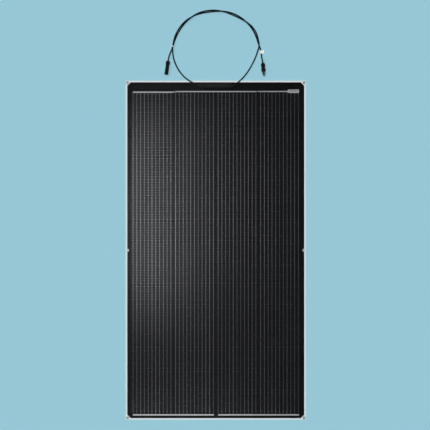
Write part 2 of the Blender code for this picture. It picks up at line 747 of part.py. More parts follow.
def make_latches():
    """Two latch fingers, each with its root, where it bends, at its own origin."""
    outline = (
        (LATCH_INNER, 0),
        (LATCH_OUTER, 0),
        (LATCH_OUTER, -LATCH_LENGTH + 5 * MM),
        (LATCH_HOOK, -LATCH_LENGTH + 5 * MM),
        (LATCH_OUTER, -LATCH_LENGTH),
        (LATCH_INNER, -LATCH_LENGTH),
    )
    root = (LATCH_INNER + LATCH_OUTER) / 2
    half = LATCH_WIDTH / 2
    level = place("socket_level", None, at=(*SOCKET_CONNECTOR, CONNECTOR_Z), turn=(0, 0, SOCKET_LEAN))
    for name, side in (("latch_finger_inner", -1), ("latch_finger_outer", 1)):
        points = [(side * (x - root), y) for x, y in outline]
        mesh = prism_mesh(name, points, -half, half)
        start = (side * root, -SOCKET_BODY_END - FIT_GAP, 0)
        place(name, mesh, "connector_plastic", at=start, parent=level)


def make_cable_tie():
    """A band round both cables where one lies on the other, with its head and a cut tail."""
    x, y = (value * MM for value in SHARED_ARCH[0])
    lower = GROUND_Z + TIE_LIFT
    rise = CROSSING_CLIMB
    inner_radius = CABLE_RADIUS + 0.45 * MM
    half = TIE_WIDTH / 2
    inner = stadium(inner_radius, rise)
    outer = stadium(inner_radius + TIE_THICKNESS, rise)
    # The band's outline stands upright, so its own Y is up and its own Z runs along the cables
    turn = (pi / 2, 0, TIE_LEAN)
    band = place(
        "cable_tie",
        frame_mesh("cable_tie", outer, inner, -half, half),
        "white_tie",
        at=(x, y, lower),
        turn=turn,
    )
    side = inner_radius + TIE_THICKNESS / 2
    head_x = (-side - 4.2 * MM, -side)
    head_y = (rise / 2 - 2.4 * MM, rise / 2 + 2.4 * MM)
    head_mesh = block_mesh("tie_head", head_x, head_y, (-half - 0.6 * MM, half + 0.6 * MM))
    combine(band, place("tie_head", head_mesh, at=(x, y, lower), turn=turn), "UNION")
    tail_y = (rise / 2 + 2 * MM, rise / 2 + 9 * MM)
    tail_x = (-side - 2.6 * MM, -side - 1.5 * MM)
    tail_mesh = block_mesh("tie_tail", tail_x, tail_y, (-half, half))
    combine(band, place("tie_tail", tail_mesh, at=(x, y, lower), turn=turn), "UNION")


def stadium(radius, rise, steps=10):
    """A circle at the origin stretched upwards, in XY, into a stadium."""
    lower = [(radius * cos(a), radius * sin(a)) for a in arc(pi, 2 * pi, steps)]
    upper = [(radius * cos(a), rise + radius * sin(a)) for a in arc(0, pi, steps)]
    return lower + upper


def arc(start, end, steps):
    return [start + (end - start) * i / steps for i in range(steps + 1)]


def make_cable_tag():
    """A strip wrapped round the left cable, with its two ends stuck together as a flag."""
    wrap = CABLE_RADIUS + TAG_SLACK + TAG_THICKNESS / 2
    slit = TAG_THICKNESS / 2 + 0.1 * MM
    opening = 0.25
    line = [(TAG_WING, slit)]
    line += [(wrap * cos(a), wrap * sin(a)) for a in arc(opening, 2 * pi - opening, 14)]
    line += [(TAG_WING, -slit)]
    outline = strip_outline(line, TAG_THICKNESS)
    mesh = prism_mesh("cable_tag", outline, -TAG_LENGTH / 2, TAG_LENGTH / 2)
    place("cable_tag", mesh, "white_paper", at=TAG_PLACE, turn=(pi / 2, 0, TAG_LEAN))


def strip_outline(line, thickness):
    """The outline of a strip of this thickness along a line in XY."""
    left = []
    right = []
    last = len(line) - 1
    for i, (x, y) in enumerate(line):
        ahead = line[min(i + 1, last)]
        behind = line[max(i - 1, 0)]
        dx = ahead[0] - behind[0]
        dy = ahead[1] - behind[1]
        size = hypot(dx, dy)
        step = (-dy / size * thickness / 2, dx / size * thickness / 2)
        left.append((x + step[0], y + step[1]))
        right.append((x - step[0], y - step[1]))
    return left + right[::-1]


def make_label():
    """A blank plate with a pointed left end."""
    middle = (LABEL_Y[0] + LABEL_Y[1]) / 2
    outline = [
        (LABEL_X[0], middle),
        (LABEL_X[0] + LABEL_POINT, LABEL_Y[0]),
        (LABEL_X[1], LABEL_Y[0]),
        (LABEL_X[1], LABEL_Y[1]),
        (LABEL_X[0] + LABEL_POINT, LABEL_Y[1]),
    ]
    place("rating_label", prism_mesh("rating_label", outline, *LABEL_Z), "label_grey")


clear_scene()
make_layers()
make_cells()
make_eyelets()
make_junction_box()
make_glands()
make_cables()
make_pin_connector()
make_socket_connector()
make_cable_tie()
make_cable_tag()
make_label()
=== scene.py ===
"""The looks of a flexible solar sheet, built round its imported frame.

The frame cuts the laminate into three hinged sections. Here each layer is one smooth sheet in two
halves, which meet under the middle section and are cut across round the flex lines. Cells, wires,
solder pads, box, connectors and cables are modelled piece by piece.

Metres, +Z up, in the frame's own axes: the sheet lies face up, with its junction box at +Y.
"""

import json
from math import ceil, cos, pi, radians, sin

import bmesh
import bpy
from mathutils import Matrix, Vector


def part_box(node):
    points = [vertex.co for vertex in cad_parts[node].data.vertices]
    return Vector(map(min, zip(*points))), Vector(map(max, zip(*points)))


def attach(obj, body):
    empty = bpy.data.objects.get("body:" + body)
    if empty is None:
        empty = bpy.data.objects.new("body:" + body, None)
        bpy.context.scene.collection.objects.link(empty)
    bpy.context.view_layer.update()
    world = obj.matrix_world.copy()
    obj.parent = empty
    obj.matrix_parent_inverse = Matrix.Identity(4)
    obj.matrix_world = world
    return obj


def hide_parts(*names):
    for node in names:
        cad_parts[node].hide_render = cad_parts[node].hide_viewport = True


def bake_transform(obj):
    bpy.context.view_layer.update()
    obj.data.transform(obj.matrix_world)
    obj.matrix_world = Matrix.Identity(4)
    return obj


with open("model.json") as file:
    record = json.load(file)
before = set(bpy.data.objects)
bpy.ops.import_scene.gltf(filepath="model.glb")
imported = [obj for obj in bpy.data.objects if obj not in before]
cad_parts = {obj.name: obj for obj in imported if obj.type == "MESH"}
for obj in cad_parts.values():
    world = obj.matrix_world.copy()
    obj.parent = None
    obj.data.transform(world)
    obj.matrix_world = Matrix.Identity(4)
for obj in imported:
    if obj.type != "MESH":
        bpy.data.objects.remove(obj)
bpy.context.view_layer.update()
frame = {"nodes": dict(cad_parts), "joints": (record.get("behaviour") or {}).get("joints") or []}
NODES = frame["nodes"]
JOINTS = {joint["name"]: joint for joint in frame["joints"]}

MM = 0.001
WELD = 0.02 * MM

# Angles in degrees past which an edge is shaded sharp, and the cuts in each round corner
SHARP_ANGLE = 35
TURNED_SHARP_ANGLE = 30
CORNER_STEPS = 6

# The sheet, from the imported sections
FILM_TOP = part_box("front_film_upper")[1].z
FLEX_UPPER_Y = JOINTS["flex_upper"]["pos_m"][1]
FLEX_LOWER_Y = JOINTS["flex_lower"]["pos_m"][1]
FLEX_GAP = 0.2 * MM

# Each half of the sheet: the sections above and below its flex line, and where that line is
HALVES = {
    "top": ("upper", "middle", FLEX_UPPER_Y),
    "bottom": ("middle", "lower", FLEX_LOWER_Y),
}

# The stretch that bends, from its flex line, and the distance between its cross cuts
BEND_BEFORE = 50 * MM
BEND_AFTER = 130 * MM
STATION_STEP = 10 * MM

# Half-cut cells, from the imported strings
ROWS_PER_SECTION = 5
ROWS = 3 * ROWS_PER_SECTION
COLUMNS = 4
TOP_ROWS = 8
STRING_LOW, STRING_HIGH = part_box("cell_string_1_upper")
CELLS_TOP = STRING_HIGH.y
CELL_WIDTH = STRING_HIGH.x - STRING_LOW.x
COLUMN_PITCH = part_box("cell_string_2_upper")[0].x - STRING_LOW.x
ROW_PITCH = (CELLS_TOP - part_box("cell_string_1_middle")[1].y) / ROWS_PER_SECTION
CELL_HEIGHT = CELLS_TOP - STRING_LOW.y - (ROWS_PER_SECTION - 1) * ROW_PITCH
CELL_LOW, CELL_TOP_Z = STRING_LOW.z, STRING_HIGH.z
CELL_CORNER = 7 * MM
SPLIT_Y = CELLS_TOP + (ROW_PITCH - CELL_HEIGHT) / 2 - TOP_ROWS * ROW_PITCH

# The ribbons that the cells' wires run between
UPPER_RIBBONS = ("bus_ribbon_top_left", "bus_ribbon_top_centre", "bus_ribbon_top_right")
LOWER_RIBBONS = ("bus_ribbon_bottom_left", "bus_ribbon_bottom_right")

# What is printed and soldered on a cell
WIRES_PER_CELL = 11
WIRE_PITCH = 16.36 * MM
WIRE_FOOT = 0.95 * MM
WIRE_CROWN = 0.8 * MM
WIRE_HEIGHT = 0.03 * MM
PADS_PER_WIRE = 5
PAD_MARGIN = 6.6 * MM
PAD_SIZE = (1.3 * MM, 1.6 * MM)
END_PAD_SIZE = (2.0 * MM, 2.2 * MM)
PAD_HEIGHT = 0.045 * MM
FINE_LINES = 72
FINGER_LINES = 8
FINGER_LINE_WIDTH = 1.0 * MM
FINGER_LINE_HEIGHT = 0.012 * MM
FINGER_LINE_INSET = 1.5 * MM

# Eyelets: the hole that the rolled lips leave, the barrel round it, and the radius of each rolled edge
EYELET_HOLE = 2.6 * MM
EYELET_BARREL = EYELET_HOLE + 0.6 * MM
EYELET_REAR_LIP = 0.5 * MM
EYELET_REAR_ROLL = 0.35 * MM
EYELET_FRONT_ROLL = 0.75 * MM
EYELET_RIM_ROLL = 0.33 * MM

# Junction box: clips along both long sides of its base, and ribs across its end block
CLIPS_PER_SIDE = 4
CLIP_START = 18 * MM
CLIP_PITCH = 26 * MM
CLIP_HALF_WIDTH = 3 * MM
RIBS = 4
RIB_START = 5 * MM
RIB_PITCH = 4.6 * MM
RIB_WIDTH = 1.6 * MM
RIB_MARGIN = 4 * MM

# Cable glands, each with a collar and then flex grooves along its taper
GLAND_LENGTH = 13 * MM
GLAND_GROOVES = 3

# Latch fingers: how far their root is from the connector's cable end, and half of their width
FINGER_ROOT = 38.3 * MM
FINGER_HALF_WIDTH = 2.5 * MM

# The cables' routes, as the frame's own cables lie
CABLE_RADIUS = 3 * MM
CABLE_STEP = 4 * MM
GROUND_Z = 3.1 * MM
CROSSING_CLIMB = 6.5 * MM
CROSSING_SWAY = 3.4 * MM
STEPS_PER_CROSSING = 4
TIE_LIFT = 1.3 * MM

# The arch's middle line in mm, four steps from one crossing to the next
SHARED_ARCH = (
    (-185.5, 882), (-174, 923), (-154.5, 960), (-127.5, 991.5),
    (-94.5, 1014.5), (-63, 1027.3), (-30, 1034), (3, 1035.7),
    (36, 1032.2), (62.5, 1025), (89, 1014.8), (113, 1001),
    (135, 984.5), (155.5, 964.5), (171.4, 940), (181.3, 912),
    (187.5, 884),
)

# Each cable's own points in mm: from its gland to the arch, then from the arch to its connector
LEFT_CABLE_IN = (
    (-81.8, 716.6, 7.3), (-96, 723, 7.2), (-110.5, 730.5, 6.6), (-123.5, 739.5, 5.7),
    (-136, 749.5, 4.4), (-149.5, 764.5, 3.3), (-162.5, 783, 3.1), (-172.6, 803, 3.1),
    (-180.3, 823, 3.1), (-184.9, 844, 4.2), (-186.5, 863, 7.4),
)
LEFT_CABLE_OUT = (
    (191.5, 874, 8.7), (194.4, 864, 7.6), (196.8, 850, 7), (198.6, 834, 7.8),
    (201.5, 820, 9.2), (203.3, 809.8, 9.6),
)
RIGHT_CABLE_IN = (
    (81.4, 716.7, 7.3), (94.5, 725, 7), (106.8, 735.5, 6), (119.8, 748.5, 4.5),
    (132, 763.5, 3.4), (145, 782, 3.1), (156.4, 802, 3.1), (166.5, 822, 3.1),
    (174.9, 842, 3.1), (181.8, 863, 3.1),
)
RIGHT_CABLE_OUT = (
    (-190, 868, 3.6), (-196, 855, 4.2), (-200.4, 842, 6.4),
    (-203.8, 830, 8.8), (-205.4, 819.3, 9.6),
)

# Camera, looking straight down
VIEW_CENTRE = (-3.2 * MM, 152.5 * MM)
VIEW_WIDTH = 1.862
CAMERA_HEIGHT = 4.4
SENSOR = 36.0

# The floor, and its colour as lit, which goes on past its edge
FLOOR_COLOUR = (0.31, 0.57, 0.665)
FLOOR_SEEN = (0.309, 0.571, 0.665)
FLOOR_REACH = 40.0
FLOOR_LEVEL = -0.5 * MM

# The sky: where it comes from, how wide it is, and its parts with and without shadows
SKY_FROM = (-1, 0.8, 4)
SKY_ANGLE = 70
SKY_PARTS = (("sky", 0.9, True), ("sky_fill", 2.345, False))

# The soft boxes: name, place, target, power and width
SOFT_BOXES = (
    ("soft_box", (-0.4, 0.185, 1.6), (-0.33, 0.185, 0), 4.8, 0.2),
    ("strip", (-0.4, -1.42, 1.6), (-0.4, -1, 0), 4.4, 0.4),
)
SOFT_BOX_LENGTH = 1.1
SOFT_BOX_COLOUR = (0.93, 0.96, 1)


# ---------------------------------------------------------------- materials


class Look:
    """A Principled material, with short ways to add nodes to it."""

    def __init__(self, name, colour, roughness, metallic=0.0, **constants):
        self.material = bpy.data.materials.new(name)
        self.material.use_nodes = True
        self.tree = self.material.node_tree
        self.shader = self.tree.nodes["Principled BSDF"]
        self.colour = colour
        self.shader.inputs["Base Color"].default_value = (*colour, 1.0)
        self.shader.inputs["Roughness"].default_value = roughness
        self.shader.inputs["Metallic"].default_value = metallic
        for socket, value in constants.items():
            self.shader.inputs[socket.replace("_", " ")].default_value = value
        self.place = self.tree.nodes.new("ShaderNodeTexCoord").outputs["Object"]

    def on_rest_place(self):
        """Read patterns by where a point lies at rest, so that they bend with the sheet."""
        node = self.node("ShaderNodeAttribute", attribute_name="rest_place")
        self.place = node.outputs["Vector"]

    def node(self, kind, inputs=(), **settings):
        made = self.tree.nodes.new(kind)
        for name, value in settings.items():
            setattr(made, name, value)
        for socket, value in dict(inputs).items():
            if isinstance(value, bpy.types.NodeSocket):
                self.tree.links.new(value, made.inputs[socket])
            else:
                made.inputs[socket].default_value = value
        return made

    def noise(self, scale, detail=3.0, stretch=(1, 1, 1)):
        """Noise from about 0 to 1, finer along an axis whose stretch is larger."""
        moved = self.node("ShaderNodeMapping", {"Vector": self.place, "Scale": stretch})
        made = self.node(
            "ShaderNodeTexNoise", {"Vector": moved.outputs[0], "Scale": scale, "Detail": detail}
        )
        return made.outputs[0]

    def ranged(self, value, low, high, from_low=0.3, from_high=0.7):
        """A value mapped from one range to another, and held inside it."""
        made = self.node(
            "ShaderNodeMapRange",
            {0: value, 1: from_low, 2: from_high, 3: low, 4: high},
        )
        return made.outputs[0]

    def mixed(self, share, first, second):
        """Two colours mixed by a share, which may be a socket or a number."""
        made = self.node("ShaderNodeMix", {0: share}, data_type="RGBA")
        for socket, value in ((made.inputs[6], first), (made.inputs[7], second)):
            if isinstance(value, bpy.types.NodeSocket):
                self.tree.links.new(value, socket)
            else:
                socket.default_value = (*value, 1.0)
        return made.outputs[2]

    def paint(self, value):
        self.tree.links.new(value, self.shader.inputs["Base Color"])

    def polish(self, value):
        self.tree.links.new(value, self.shader.inputs["Roughness"])

    def emboss(self, height, strength, distance):
        """Bump from a height, with the bump's depth in metres."""
        made = self.node(
            "ShaderNodeBump", {"Height": height, "Strength": strength, "Distance": distance}
        )
        self.tree.links.new(made.outputs[0], self.shader.inputs["Normal"])

    def mottle(self, scale, other, share):
        """Blotches of another colour."""
        amount = self.ranged(self.noise(scale, 4.0), 0.0, share)
        self.paint(self.mixed(amount, self.colour, other))

    def scuff(self, scale, low, high):
        """Roughness that varies between two values."""
        self.polish(self.ranged(self.noise(scale, 5.0), low, high))


def shade(colour, share):
    """A colour, darker or brighter by a share."""
    return tuple(part * share for part in colour)


def film_look():
    """Embossed clear plastic over the whole face."""
    look = Look("clear_film", (0.009, 0.010, 0.012), 0.34, Alpha=0.08)
    look.on_rest_place()
    dimples = look.noise(900, 1.0)
    look.emboss(dimples, 0.25, 0.05 * MM)
    look.scuff(14, 0.28, 0.42)
    return look


def board_look():
    """The white fibre board, whose weave just shows at the border."""
    look = Look("white_board", (0.82, 0.885, 0.915), 0.5)
    look.on_rest_place()
    weave = look.noise(420, 2.0, (1, 0.35, 1))
    amount = look.ranged(weave, 0.0, 0.35)
    mottled = look.mixed(amount, look.colour, (0.77, 0.83, 0.86))
    broad = look.ranged(look.noise(5, 3.0), 0.0, 0.18)
    look.paint(look.mixed(broad, mottled, (0.73, 0.79, 0.82)))
    look.emboss(weave, 0.2, 0.04 * MM)
    look.scuff(60, 0.42, 0.6)
    return look


def rear_look():
    """The plain rear sheet, faintly pebbled."""
    look = Look("rear_sheet", (0.78, 0.80, 0.81), 0.45)
    look.on_rest_place()
    look.mottle(8, (0.70, 0.72, 0.73), 0.4)
    look.emboss(look.noise(700, 2.0), 0.25, 0.05 * MM)
    look.scuff(30, 0.38, 0.55)
    return look


def backing_look():
    """The black sheet under the cells."""
    look = Look("black_backing", (0.0018, 0.0019, 0.0023), 0.37, Specular_IOR_Level=0.24)
    look.on_rest_place()
    look.mottle(25, (0.0036, 0.0038, 0.0044), 0.8)
    look.emboss(look.noise(600, 2.0), 0.2, 0.04 * MM)
    look.scuff(20, 0.32, 0.44)
    return look


def cell_look():
    """Dark silicon with fine printed lines, each half cell a little different."""
    look = Look("solar_cell", (0.0075, 0.0080, 0.0105), 0.42, Specular_IOR_Level=0.36)
    look.on_rest_place()
    fine_pitch = CELL_HEIGHT / FINE_LINES
    along = look.node("ShaderNodeSeparateXYZ", {0: look.place}).outputs[1]
    turns = look.node("ShaderNodeMath", {0: along, 1: 2 * pi / fine_pitch}, operation="MULTIPLY")
    wave = look.node("ShaderNodeMath", {0: turns.outputs[0]}, operation="SINE").outputs[0]
    fine_lines = look.ranged(wave, 0.0, 1.0, 0.6, 1.0)
    island = look.node("ShaderNodeNewGeometry").outputs["Random Per Island"]
    each = look.mixed(island, (0.0012, 0.0013, 0.0021), (0.0024, 0.0026, 0.0040))
    crystal = look.ranged(look.noise(38, 4.0, (1, 0.5, 1)), 0.0, 0.5)
    silicon = look.mixed(crystal, each, (0.0030, 0.0032, 0.0048))
    share = look.node("ShaderNodeMath", {0: fine_lines, 1: 0.05}, operation="MULTIPLY").outputs[0]
    look.paint(look.mixed(share, silicon, (0.055, 0.056, 0.060)))
    look.scuff(9, 0.34, 0.41)
    return look


def silver_look(name, colour, low, high, column_scale):
    """Tinned copper or printed silver, whose tarnish changes from one wire to the next."""
    look = Look(name, colour, (low + high) / 2, 0.9)
    look.on_rest_place()
    column = look.noise(column_scale, 2.0, (1, 0.02, 1))
    tarnished = look.mixed(look.ranged(column, 0.0, 1.0, 0.35, 0.65), colour, shade(colour, 0.42))
    spots = look.ranged(look.noise(90, 3.0), 0.0, 0.5)
    look.paint(look.mixed(spots, tarnished, shade(colour, 0.6)))
    look.scuff(70, low, high)
    return look


def ribbon_look():
    """Flat tinned ribbon, with solder waves along it."""
    look = Look("tinned_ribbon", (0.76, 0.77, 0.77), 0.4, 0.62)
    waves = look.noise(60, 3.0, (1, 3, 1))
    look.paint(look.mixed(look.ranged(waves, 0.0, 0.6), look.colour, (0.62, 0.63, 0.63)))
    look.emboss(waves, 0.35, 0.15 * MM)
    look.scuff(120, 0.32, 0.5)
    return look


def nickel_look(name, colour, metallic):
    """Nickel-plated brass with fine scratches."""
    look = Look(name, colour, 0.28, metallic)
    scratches = look.noise(900, 4.0, (1, 0.15, 1))
    look.mottle(300, shade(colour, 0.73), 0.7)
    look.emboss(scratches, 0.15, 0.03 * MM)
    look.polish(look.ranged(scratches, 0.22, 0.42))
    return look


def plastic_look(name, colour, roughness):
    """Moulded plastic with a fine spark-eroded grain, paler where edges have rubbed."""
    look = Look(name, colour, roughness, Specular_IOR_Level=0.3)
    pale = tuple(0.012 + part * 1.5 for part in colour)
    edge = look.node("ShaderNodeNewGeometry").outputs["Pointiness"]
    worn = look.ranged(edge, 0.0, 0.35, 0.53, 0.62)
    faint = tuple(0.004 + part * 1.12 for part in colour)
    base = look.mixed(look.ranged(look.noise(160, 4.0), 0.0, 0.8), look.colour, faint)
    look.paint(look.mixed(worn, base, pale))
    look.emboss(look.noise(1400, 3.0), 0.3, 0.05 * MM)
    look.scuff(220, roughness - 0.07, roughness + 0.1)
    return look


def rubber_look():
    """Matt black rubber, a little bloomed."""
    look = Look("soft_rubber", (0.011, 0.011, 0.012), 0.68)
    look.mottle(350, (0.022, 0.022, 0.023), 0.7)
    look.emboss(look.noise(1500, 3.0), 0.35, 0.05 * MM)
    return look


def jacket_look():
    """Cross-linked cable jacket: matt, drawn lengthwise, with a little dust."""
    look = Look("cable_jacket", (0.0030, 0.0030, 0.0034), 0.46, Specular_IOR_Level=0.3)
    dust = look.ranged(look.noise(55, 5.0), 0.0, 0.35, 0.5, 0.8)
    look.paint(look.mixed(dust, look.colour, (0.014, 0.014, 0.015)))
    look.emboss(look.noise(1100, 3.0), 0.25, 0.05 * MM)
    look.scuff(130, 0.38, 0.56)
    return look


def metal_look(name, colour, roughness):
    """Bare contact metal, tarnished in spots."""
    look = Look(name, colour, roughness, 1.0)
    look.mottle(420, shade(colour, 0.6), 0.6)
    look.scuff(800, roughness - 0.06, roughness + 0.12)
    look.emboss(look.noise(1200, 3.0), 0.12, 0.03 * MM)
    return look


def white_tie_look():
    """White nylon, faintly grained."""
    look = Look("white_tie", (0.74, 0.76, 0.77), 0.42)
    look.mottle(500, (0.62, 0.64, 0.65), 0.6)
    look.emboss(look.noise(1500, 2.0), 0.2, 0.03 * MM)
    look.scuff(300, 0.35, 0.52)
    return look


def paper_look():
    """Matt coated paper, with its fibres."""
    look = Look("white_paper", (0.86, 0.87, 0.87), 0.6)
    fibres = look.noise(900, 4.0, (1, 0.3, 1))
    look.paint(look.mixed(look.ranged(fibres, 0.0, 0.5), look.colour, (0.76, 0.77, 0.77)))
    look.emboss(fibres, 0.25, 0.03 * MM)
    return look


def label_look(name, colour, roughness):
    """Brushed foil, drawn along X."""
    look = Look(name, colour, roughness)
    brushed = look.noise(700, 3.0, (0.05, 1, 1))
    look.paint(look.mixed(look.ranged(brushed, 0.0, 0.8), look.colour, shade(colour, 0.8)))
    look.emboss(brushed, 0.15, 0.02 * MM)
    look.scuff(200, roughness - 0.08, roughness + 0.1)
    return look


LOOKS = {
    "clear_film": film_look(),
    "white_board": board_look(),
    "rear_sheet": rear_look(),
    "black_backing": backing_look(),
    "solar_cell": cell_look(),
    "cell_wire": silver_look("cell_wire", (0.80, 0.80, 0.79), 0.28, 0.38, 31),
    "solder_pad": silver_look("solder_pad", (0.86, 0.86, 0.85), 0.28, 0.38, 31),
    "finger_line": silver_look("finger_line", (0.25, 0.25, 0.26), 0.22, 0.30, 12),
    "tinned_ribbon": ribbon_look(),
    "nickel_eyelet": nickel_look("nickel_eyelet", (0.31, 0.30, 0.28), 0.65),
    # The middle eyelets' nickel: a paler, less metallic copy, as a painted highlight
    "painted_glint_eyelet": nickel_look("painted_glint_eyelet", (0.60, 0.60, 0.58), 0.35),
    "box_plastic": plastic_look("box_plastic", (0.0045, 0.0045, 0.0050), 0.5),
    "lid_plastic": plastic_look("lid_plastic", (0.0060, 0.0058, 0.0056), 0.5),
    "soft_rubber": rubber_look(),
    "terminal_brass": metal_look("terminal_brass", (0.78, 0.57, 0.27), 0.32),
    "cable_jacket": jacket_look(),
    "connector_plastic": plastic_look("connector_plastic", (0.0035, 0.0035, 0.0040), 0.45),
    "contact_metal": metal_look("contact_metal", (0.75, 0.74, 0.71), 0.25),
    "white_tie": white_tie_look(),
    "white_paper": paper_look(),
    "label_grey": label_look("label_grey", (0.33, 0.345, 0.355), 0.38),
    "label_patch": label_look("label_patch", (0.19, 0.20, 0.21), 0.42),
}


# ---------------------------------------------------------------- pieces and meshes


def add_piece(name, data, look):
    """Link a piece to the scene with its material."""
    piece = bpy.data.objects.new(name, data)
    bpy.context.scene.collection.objects.link(piece)
    data.materials.clear()
    data.materials.append(LOOKS[look].material)
    return piece


def stand_for(piece, body, *nodes):
    """The piece rides on a body, in the place of these nodes."""
    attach(piece, body)
    if nodes:
        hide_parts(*nodes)
    return piece


def bend(piece, half, *stems):
    """The piece stays where it is built, in the place of these nodes' sections in its half."""
    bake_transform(piece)
    sections = ("upper", "middle") if half == "top" else ("lower",)
    nodes = [f"{stem}_{section}" for stem in stems for section in sections]
    if nodes:
        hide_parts(*nodes)
    return piece


def finished_mesh(name, bm, sharp_angle=SHARP_ANGLE):
    """A mesh with its faces pointing out, shaded smooth between its sharp edges."""
    bmesh.ops.recalc_face_normals(bm, faces=bm.faces)
    mesh = bpy.data.meshes.new(name)
    bm.to_mesh(mesh)
    bm.free()
    mesh.shade_smooth()
    mesh.set_sharp_from_angle(angle=radians(sharp_angle))
    return mesh


def keep_rest_place(mesh):
    """Store each point's place at rest, for patterns that bend with the sheet."""
    attribute = mesh.attributes.new("rest_place", "FLOAT_VECTOR", "POINT")
    for vert, stored in zip(mesh.vertices, attribute.data):
        stored.vector = vert.co
    return mesh


def cut_across(bm, y, **clear):
    """Cut a mesh at one Y, and clear a side of the cut if asked."""
    geometry = bm.verts[:] + bm.edges[:] + bm.faces[:]
    bmesh.ops.bisect_plane(
        bm, geom=geometry, plane_co=(0, y, 0), plane_no=(0, 1, 0), dist=1e-6, **clear
    )


def cut_stations(bm, half):
    """Cross cuts over the stretch that bends, so that it bends smoothly."""
    flex_y = HALVES[half][2]
    count = round((BEND_BEFORE + BEND_AFTER) / STATION_STEP)
    for step in range(count + 1):
        cut_across(bm, flex_y + BEND_BEFORE - step * STATION_STEP)


def bevel(piece, width):
    """Round a piece's sharp edges."""
    modifier = piece.modifiers.new("Bevel", "BEVEL")
    modifier.width = width
    modifier.segments = 2
    modifier.limit_method = "ANGLE"
    modifier.angle_limit = radians(40)


def flat_faces(piece):
    """Keep large faces evenly shaded next to their rounded edges."""
    piece.modifiers.new("Weighted", "WEIGHTED_NORMAL").keep_sharp = True
    return piece


def cut_out(piece, cutter_mesh, matrix):
    """Cut a mesh out of a piece for good."""
    cutter = bpy.data.objects.new("cutter", cutter_mesh)
    bpy.context.scene.collection.objects.link(cutter)
    cutter.matrix_world = matrix
    modifier = piece.modifiers.new("Cut", "BOOLEAN")
    modifier.solver = "EXACT"
    modifier.object = cutter
    bpy.context.view_layer.update()
    graph = bpy.context.evaluated_depsgraph_get()
    cut = bpy.data.meshes.new_from_object(piece.evaluated_get(graph))
    piece.modifiers.remove(modifier)
    piece.data = cut
    bpy.data.objects.remove(cutter)


def loft_mesh(name, rings, sharp_angle=SHARP_ANGLE):
    """Closed rings with as many points each, joined in order, with both ends filled."""
    bm = bmesh.new()
    loops = [[bm.verts.new(point) for point in ring] for ring in rings]
    count = len(rings[0])
    for one, other in zip(loops, loops[1:]):
        for i in range(count):
            after = (i + 1) % count
            bm.faces.new((one[i], one[after], other[after], other[i]))
    bm.faces.new(loops[0][::-1])
    bm.faces.new(loops[-1])
    return finished_mesh(name, bm, sharp_angle)


def rounded_ring(low, high, corner, z):
    """A rectangle's outline with round corners, at one height, from two corners in XY."""
    corners = (
        (high[0], high[1], 1, 1),
        (low[0], high[1], -1, 1),
        (low[0], low[1], -1, -1),
        (high[0], low[1], 1, -1),
    )
    ring = []
    for quarter, (x, y, side, end) in enumerate(corners):
        for step in range(CORNER_STEPS + 1):
            angle = pi / 2 * (quarter + step / CORNER_STEPS)
            ring.append(
                (x - side * corner + corner * cos(angle), y - end * corner + corner * sin(angle), z)
            )
    return ring


def inset_rings(low, high, corner, levels):
    """Rounded outlines stacked up, each one (inset, height)."""
    return [
        rounded_ring(
            (low[0] + inset, low[1] + inset),
            (high[0] - inset, high[1] - inset),
            max(corner - inset, 0.3 * MM),
            z,
        )
        for inset, z in levels
    ]


def add_loft(name, look, low, high, corner, levels):
    """A small rounded block on the upper section, from two corners in XY and its levels."""
    mesh = loft_mesh(name, inset_rings(low, high, corner, levels))
    stand_for(flat_faces(add_piece(name, mesh, look)), "upper_section")


def turned_mesh(name, profile, steps=48, ribs=0):
    """A profile of (radius, height) turned about Z. A third number is the depth of grip grooves."""
    bm = bmesh.new()
    rings = []
    for radius, height, *groove in profile:
        if radius == 0:
            rings.append([bm.verts.new((0, 0, height))] * steps)
            continue
        depth = groove[0] if groove else 0.0
        ring = []
        for i in range(steps):
            angle = 2 * pi * i / steps
            reach = radius - depth * (0.5 - 0.5 * cos(ribs * angle))
            ring.append(bm.verts.new((reach * cos(angle), reach * sin(angle), height)))
        rings.append(ring)
    pairs = list(zip(rings, rings[1:]))
    if profile[0][0] > 0:
        pairs.append((rings[-1], rings[0]))
    for one, other in pairs:
        for i in range(steps):
            after = (i + 1) % steps
            corners = dict.fromkeys((one[i], one[after], other[after], other[i]))
            bm.faces.new(list(corners))
    return finished_mesh(name, bm, TURNED_SHARP_ANGLE)


def arc_profile(centre, radius, start, end, steps):
    """Points of a turned profile round an arc, in degrees from the outward direction."""
    angles = [radians(start + (end - start) * i / steps) for i in range(steps + 1)]
    return [(centre[0] + radius * cos(a), centre[1] + radius * sin(a)) for a in angles]


def from_mm(*points):
    """Points in metres, from points in millimetres."""
    return [tuple(part * MM for part in point) for point in points]


# ---------------------------------------------------------------- camera and cables


def make_camera():
    data = bpy.data.cameras.new("camera")
    data.sensor_width = SENSOR
    data.lens = SENSOR * CAMERA_HEIGHT / VIEW_WIDTH
    camera = bpy.data.objects.new("camera", data)
    bpy.context.scene.collection.objects.link(camera)
    camera.location = (*VIEW_CENTRE, CAMERA_HEIGHT)
    bpy.context.scene.camera = camera


def arch_points(side):
    """One cable's points along the shared arch, left to right. Side is 1 for the left cable.

    The two cables wind round each other: at a crossing one lies on the other, and halfway to the
    next crossing they lie side by side on the ground.
    """
    middle = [Vector((x * MM, y * MM, GROUND_Z)) for x, y in SHARED_ARCH]
    points = []
    for step, here in enumerate(middle):
        before = middle[max(step - 1, 0)]
        after = middle[min(step + 1, len(middle) - 1)]
        along = (after - before).normalized()
        outward = Vector((-along.y, along.x, 0))
        phase = pi * step / STEPS_PER_CROSSING
        lift = CROSSING_CLIMB * max(0.0, side * cos(phase))
        lift += TIE_LIFT if step == 0 else 0.0
        sway = side * CROSSING_SWAY * sin(phase)
        points.append(here + outward * sway + Vector((0, 0, lift)))
    return points


def cable_route(lead_in, lead_out, side):
    """A cable's points, from its gland to its connector."""
    arch = arch_points(side)
    if side < 0:
        arch.reverse()
    start = [Vector(point) * MM for point in lead_in]
    end = [Vector(point) * MM for point in lead_out]
    return start + arch + end


